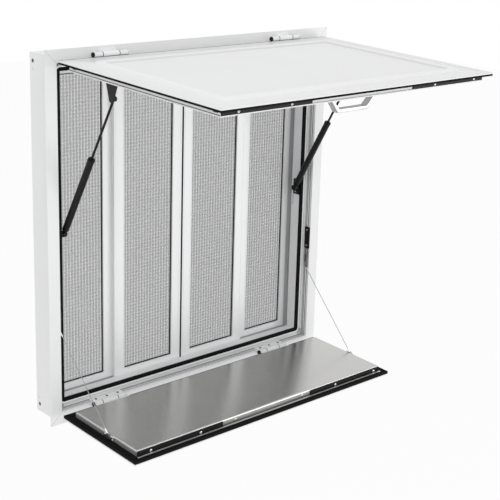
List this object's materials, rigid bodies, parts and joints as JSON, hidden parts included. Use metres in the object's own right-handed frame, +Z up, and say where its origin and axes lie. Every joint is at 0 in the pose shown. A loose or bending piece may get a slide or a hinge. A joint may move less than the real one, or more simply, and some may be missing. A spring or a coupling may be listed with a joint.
{
  "type": "concession window",
  "caption": "White framed serving window with sliding screens, a lift-up awning on gas struts and a drop-down steel shelf.",
  "frame": {"origin": "On the back of the flange, in the middle of its width and 7 mm above its bottom edge", "axes": "+X to the right seen from outside, +Y into the wall, +Z up"},
  "size_m": [0.914, 0.6693, 0.93],
  "materials": {
    "white_paint": "satin white",
    "steel": "brushed",
    "plated_steel": "bright zinc",
    "black_rubber": "matte",
    "black_plastic": "satin",
    "black_paint": "satin black",
    "grey_plastic": "satin",
    "grey_screen": "woven mesh"
  },
  "bodies": {
    "frame": {"cable_hooks": "plated_steel", "head": "white_paint", "latch_blocks": "black_plastic", "left_cable": "plated_steel", "left_jamb": "white_paint", "left_middle_sash_rails": "white_paint", "left_middle_sash_screen": "grey_screen", "left_middle_sash_stiles": "white_paint", "left_outer_sash_rails": "white_paint", "left_outer_sash_screen": "grey_screen", "left_outer_sash_stiles": "white_paint", "lower_hinge_frame_leaves": "white_paint", "lower_hinge_pins": "white_paint", "right_cable": "plated_steel", "right_jamb": "white_paint", "right_middle_sash_rails": "white_paint", "right_middle_sash_screen": "grey_screen", "right_middle_sash_stiles": "white_paint", "right_outer_sash_rails": "white_paint", "right_outer_sash_screen": "grey_screen", "right_outer_sash_stiles": "white_paint", "sill": "white_paint", "strut_feet": "plated_steel", "upper_hinge_frame_leaves": "white_paint", "upper_hinge_pins": "white_paint", "weatherstrip": "black_rubber", "weatherstrip_retainers": "white_paint"},
    "awning": {"awning_front_strips": "black_plastic", "awning_handle": "grey_plastic", "awning_seal": "black_rubber", "awning_skin": "white_paint", "awning_tray": "white_paint", "strut_heads": "black_paint", "upper_hinge_awning_leaves": "white_paint"},
    "shelf": {"cable_eyes": "plated_steel", "lower_hinge_shelf_leaves": "white_paint", "shelf_front_strips": "black_plastic", "shelf_seal": "black_rubber", "shelf_skin": "white_paint", "shelf_tray": "steel"},
    "left_cylinder": {"left_strut_cylinder": "black_paint"},
    "left_rod": {"left_strut_rod": "plated_steel"},
    "right_cylinder": {"right_strut_cylinder": "black_paint"},
    "right_rod": {"right_strut_rod": "plated_steel"}
  },
  "joints": [
    {"name": "awning_hinge", "type": "hinge", "parent": "frame", "child": "awning", "pos_m": [0, -0.017, 0.9055], "axis": [1, 0, 0], "range_deg": [0, 87.6]},
    {"name": "shelf_hinge", "type": "hinge", "parent": "frame", "child": "shelf", "pos_m": [0, -0.0092, 0.021], "axis": [-1, 0, 0], "range_deg": [0, 92.2], "deforming": ["left_cable", "right_cable"]},
    {"name": "left_strut_turn", "type": "hinge", "parent": "frame", "child": "left_cylinder", "pos_m": [-0.389, 0.031, 0.471], "axis": [1, 0, 0], "range_deg": [-35, 1]},
    {"name": "left_rod_slide", "type": "slide", "parent": "left_cylinder", "child": "left_rod", "axis": [0, -0.4967, 0.8679], "range_m": [-0.142, 0.001]},
    {"name": "right_strut_turn", "type": "hinge", "parent": "frame", "child": "right_cylinder", "pos_m": [0.389, 0.031, 0.471], "axis": [1, 0, 0], "range_deg": [-35, 1]},
    {"name": "right_rod_slide", "type": "slide", "parent": "right_cylinder", "child": "right_rod", "axis": [0, -0.4967, 0.8679], "range_m": [-0.142, 0.001]}
  ],
  "couplings": [
    {"joint": "left_strut_turn", "follows": "awning_hinge", "ratio": -0.38725},
    {"joint": "left_rod_slide", "follows": "awning_hinge", "m_per_rad": -0.091919},
    {"joint": "right_strut_turn", "follows": "awning_hinge", "ratio": -0.38725},
    {"joint": "right_rod_slide", "follows": "awning_hinge", "m_per_rad": -0.091919}
  ]
}
